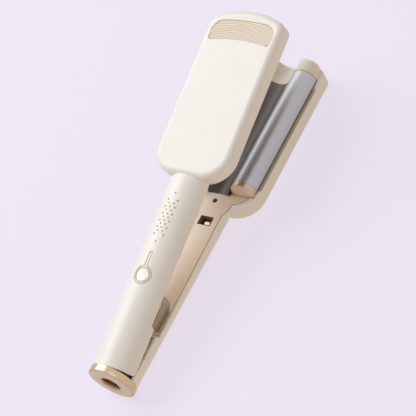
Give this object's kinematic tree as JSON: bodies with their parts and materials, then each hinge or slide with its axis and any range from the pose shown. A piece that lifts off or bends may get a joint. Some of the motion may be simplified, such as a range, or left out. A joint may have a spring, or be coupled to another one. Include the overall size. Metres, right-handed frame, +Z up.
{
  "type": "hair waver",
  "caption": "Hair waver with two hinged arms: twin heated barrels and a trough below, a meshing barrel above, and a round tail ring with a cord inlet.",
  "frame": {"origin": "on the resting surface under the middle of the length, on the plane of symmetry", "axes": "+Y from the tail ring to the nose, +Z up, +X across the arms to the right as seen from the tail"},
  "size_m": [0.074, 0.334, 0.0984],
  "materials": {
    "cream_shell": "satin",
    "inner_cream": "satin",
    "barrel_coat": "satin",
    "dark_plate": "satin",
    "champagne_trim": "satin",
    "champagne_ring": "polished",
    "peach_plastic": "satin",
    "heater_metal": "satin",
    "heat_plastic": "matte",
    "khaki_trim": "satin",
    "steel": "satin",
    "brass": "satin",
    "board_green": "matte",
    "dark_plastic": "matte",
    "copper_plastic": "satin",
    "tan_plastic": "satin"
  },
  "bodies": {
    "lower_arm": {"lower_shell": "cream_shell", "lower_cover": "inner_cream", "lower_barrel_left": "barrel_coat", "lower_barrel_right": "barrel_coat", "lower_trough": "dark_plate", "lower_bands": "champagne_trim", "lower_end_caps": "peach_plastic", "lower_heaters": "heater_metal", "lower_carriers": "heat_plastic", "lower_chassis": "heat_plastic", "guard_strips": "khaki_trim", "lower_nose": "cream_shell", "lower_screws": "steel", "screw_plug": "inner_cream", "catch_clip": "steel", "circuit_board": "board_green", "hinge_block": "dark_plastic", "pivot_pins": "steel", "hinge_springs": "steel", "guard_fins": "khaki_trim", "tail_ring": "champagne_ring", "tail_plug": "peach_plastic", "end_cap": "peach_plastic", "inlet_socket": "copper_plastic"},
    "upper_arm": {"upper_shell": "cream_shell", "upper_cover": "inner_cream", "upper_barrel": "barrel_coat", "upper_side_plates": "dark_plate", "upper_band": "champagne_trim", "upper_end_cap": "peach_plastic", "upper_heater": "heater_metal", "upper_carrier": "heat_plastic", "upper_chassis": "heat_plastic", "upper_nose": "cream_shell", "upper_screws": "steel", "grille": "tan_plastic", "button_bezel": "champagne_trim", "button_board": "board_green", "vent_backing": "tan_plastic", "hinge_yoke": "dark_plastic", "pivot_bushes": "brass"},
    "button": {"power_button": "cream_shell"}
  },
  "joints": [
    {"name": "arm_hinge", "type": "hinge", "parent": "lower_arm", "child": "upper_arm", "pos_m": [0, -0.154, 0.0215], "axis": [1, 0, 0], "range_deg": [-10.6, 0], "stiffness_Nm_per_rad": 1.2, "springref_deg": 45.84},
    {"name": "power_press", "type": "slide", "parent": "upper_arm", "child": "button", "axis": [0, 0.184, -0.9829], "range_m": [0, 0.0008], "stiffness_N_per_m": 800, "springref_m": -0.001}
  ]
}
